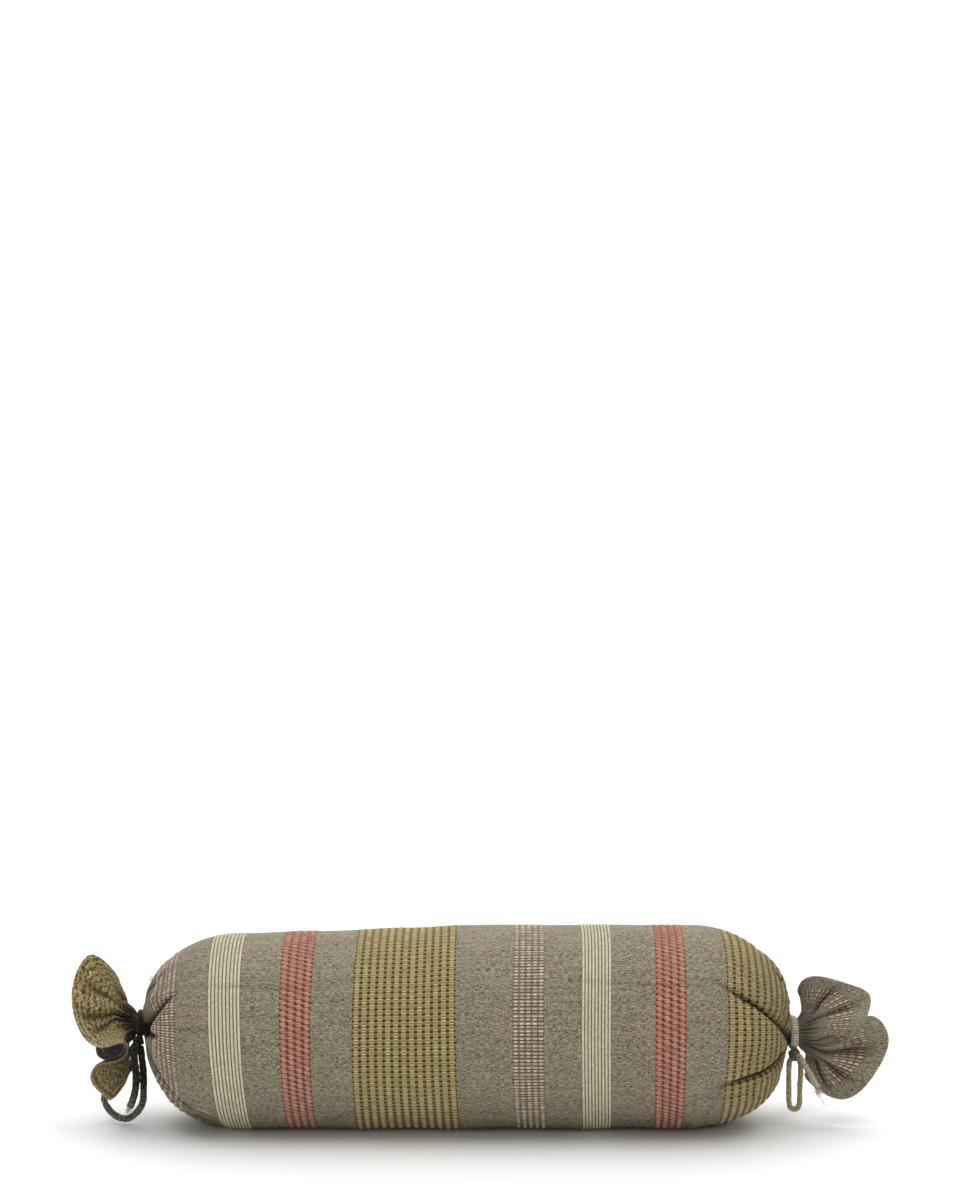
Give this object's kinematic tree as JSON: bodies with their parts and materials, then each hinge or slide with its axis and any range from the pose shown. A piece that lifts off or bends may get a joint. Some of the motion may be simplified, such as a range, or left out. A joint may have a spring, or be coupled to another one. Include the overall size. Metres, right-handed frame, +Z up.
{
  "type": "bolster cushion",
  "caption": "Round bolster cushion in striped woven cloth, both ends gathered and tied with cloth ties, the open ends flaring as flounces.",
  "frame": {"origin": "middle of the flat underside on which the filled roll rests", "axes": "+X runs along the bolster from one tied end to the other, -Y is the front that the picture shows, +Z is up"},
  "size_m": [0.7901, 0.1972, 0.1892],
  "materials": {
    "striped_cloth": "matt woven cotton and linen, grey ground with woven stripes in olive waffle, cream cord, pink honeycomb and dotted weaves",
    "olive_cloth": "matt woven olive waffle stripe with a narrow grey hem",
    "tie_cloth": "matt sewn tube of the striped cloth"
  },
  "bodies": {
    "root": {"roll": "striped_cloth", "flounce_left": "olive_cloth", "flounce_right": "striped_cloth", "tie_wrap_left": "tie_cloth", "tie_wrap_right": "tie_cloth", "tie_knot_left": "tie_cloth", "tie_knot_right": "tie_cloth", "tie_loop_left": "tie_cloth", "tie_tail_left": "tie_cloth", "tie_loop_right": "tie_cloth", "tie_tail_right": "tie_cloth"}
  },
  "joints": []
}
